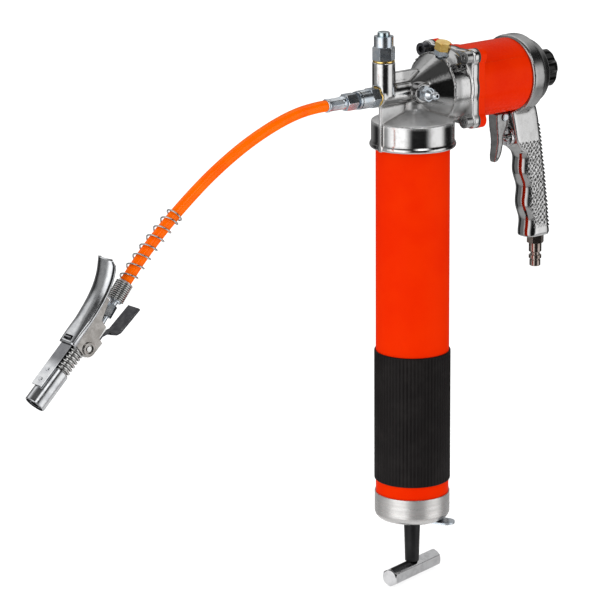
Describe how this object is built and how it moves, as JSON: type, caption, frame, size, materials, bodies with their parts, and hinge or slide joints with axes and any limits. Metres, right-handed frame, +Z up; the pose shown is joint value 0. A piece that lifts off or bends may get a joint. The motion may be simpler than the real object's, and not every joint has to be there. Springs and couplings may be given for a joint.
{
  "type": "pneumatic grease applicator",
  "caption": "Pistol-grip air-driven grease gun: hanging barrel with spring follower and T-handle, air motor, relief valve, hose and lever-release nipple coupler.",
  "frame": {"origin": "barrel axis at the underside of the head's collar bead, where the barrel enters", "axes": "+Z up the barrel axis towards the head, +X along the outlet and motor axis towards the air motor and handle, hose and coupler towards -X, grease nipple towards -Y"},
  "size_m": [0.5024, 0.0668, 0.4403],
  "materials": {
    "orange_paint": "glossy orange-red enamel",
    "cast_aluminium": "polished and satin die casting",
    "zinc_plate": "bright zinc plate with a blue cast",
    "satin_steel": "turned or brushed bare steel",
    "dull_steel": "dull pressed steel",
    "chrome_plate": "chrome plate",
    "brass": "turned brass",
    "black_rubber": "black moulded rubber",
    "black_plastic": "glossy black moulding",
    "hose_jacket": "glossy orange hose jacket"
  },
  "bodies": {
    "gun": {"head_casting": "cast_aluminium", "barrel_gasket": "black_rubber", "barrel_tube": "orange_paint", "barrel_sleeve": "black_rubber", "end_cap": "satin_steel", "rod_gland": "satin_steel", "lock_rivet": "satin_steel", "main_spring": "satin_steel", "outlet_washer": "brass", "outlet_adapter": "zinc_plate", "check_spring": "satin_steel", "relief_washer": "brass", "relief_body": "zinc_plate", "relief_spring": "satin_steel", "grease_nipple": "zinc_plate", "bleeder_seat": "zinc_plate", "bleeder_plug": "brass", "motor_gasket": "black_rubber", "motor_cylinder": "orange_paint", "upper_screws": "satin_steel", "lower_screws": "satin_steel", "plunger_gland": "brass", "motor_spring": "satin_steel", "cap_seal": "black_rubber", "grip_housing": "cast_aluminium", "valve_bush": "zinc_plate", "valve_spring": "satin_steel", "trigger_pin": "zinc_plate", "air_plug": "zinc_plate", "hose_swivel": "zinc_plate", "hose_ferrule": "zinc_plate", "hose": "hose_jacket", "guard_spring": "zinc_plate", "strain_spring": "zinc_plate", "hose_fitting": "zinc_plate", "coupler_body": "satin_steel", "coupler_jaws": "satin_steel", "coupler_spring": "satin_steel", "lever_pin": "satin_steel", "finger_rest": "dull_steel"},
    "rod": {"follower_rod": "satin_steel", "rod_nut": "zinc_plate", "rod_shank": "black_plastic", "tee_handle": "chrome_plate"},
    "follower": {"follower_plate": "satin_steel", "follower_cup": "black_rubber"},
    "lock": {"lock_plate": "satin_steel"},
    "button": {"relief_button": "zinc_plate"},
    "regulator": {"regulator_stem": "satin_steel", "star_knob": "black_plastic"},
    "piston": {"air_piston": "cast_aluminium", "piston_seal": "black_rubber", "pump_plunger": "satin_steel"},
    "ball": {"check_ball": "satin_steel"},
    "valve": {"valve_stem": "satin_steel"},
    "trigger": {"trigger": "zinc_plate"},
    "lever": {"coupler_lever": "zinc_plate", "coupler_bracket": "dull_steel"},
    "sleeve": {"coupler_sleeve": "zinc_plate", "pull_strap": "zinc_plate"}
  },
  "joints": [
    {"name": "rod_slide", "type": "slide", "parent": "gun", "child": "rod", "axis": [0, 0, -1], "range_m": [0, 0.23]},
    {"name": "follower_slide", "type": "slide", "parent": "rod", "child": "follower", "axis": [0, 0, 1], "range_m": [-0.23, 0], "stiffness_N_per_m": 180, "springref_m": 0.25, "deforming": ["main_spring"]},
    {"name": "lock_tilt", "type": "hinge", "parent": "gun", "child": "lock", "pos_m": [-0.00426, 0.00934, -0.2982], "axis": [0.91, 0.4147, 0], "range_deg": [0, 2]},
    {"name": "relief_press", "type": "slide", "parent": "gun", "child": "button", "axis": [0, 0, -1], "range_m": [0, 0.0022], "stiffness_N_per_m": 2500, "springref_m": -0.002, "deforming": ["relief_spring"]},
    {"name": "regulator_turn", "type": "hinge", "parent": "gun", "child": "regulator", "pos_m": [0.13, 0, 0.0432], "axis": [-1, 0, 0], "range_deg": [0, 1080]},
    {"name": "piston_stroke", "type": "slide", "parent": "gun", "child": "piston", "axis": [-1, 0, 0], "range_m": [0, 0.022], "stiffness_N_per_m": 600, "springref_m": -0.03, "deforming": ["motor_spring"]},
    {"name": "check_lift", "type": "slide", "parent": "gun", "child": "ball", "axis": [-1, 0, 0], "range_m": [0, 0.002], "stiffness_N_per_m": 500, "springref_m": -0.003, "deforming": ["check_spring"]},
    {"name": "trigger_pull", "type": "hinge", "parent": "gun", "child": "trigger", "pos_m": [0.0915, 0, 0.0107], "axis": [0, -1, 0], "range_deg": [0, 12], "stiffness_Nm_per_rad": 1.2, "springref_deg": -14.32},
    {"name": "valve_push", "type": "slide", "parent": "gun", "child": "valve", "axis": [1, 0, 0], "range_m": [0, 0.0038], "deforming": ["valve_spring"]},
    {"name": "lever_squeeze", "type": "hinge", "parent": "gun", "child": "lever", "pos_m": [-0.31368, 0, -0.10083], "axis": [0, 1, 0], "range_deg": [0, 12], "stiffness_Nm_per_rad": 2.5, "springref_deg": -17.19},
    {"name": "sleeve_draw", "type": "slide", "parent": "gun", "child": "sleeve", "axis": [0.7314, 0, 0.682], "range_m": [0, 0.0034], "deforming": ["coupler_spring"]}
  ],
  "couplings": [
    {"joint": "valve_push", "follows": "trigger_pull", "m_per_rad": 0.0172},
    {"joint": "sleeve_draw", "follows": "lever_squeeze", "m_per_rad": 0.0155}
  ]
}
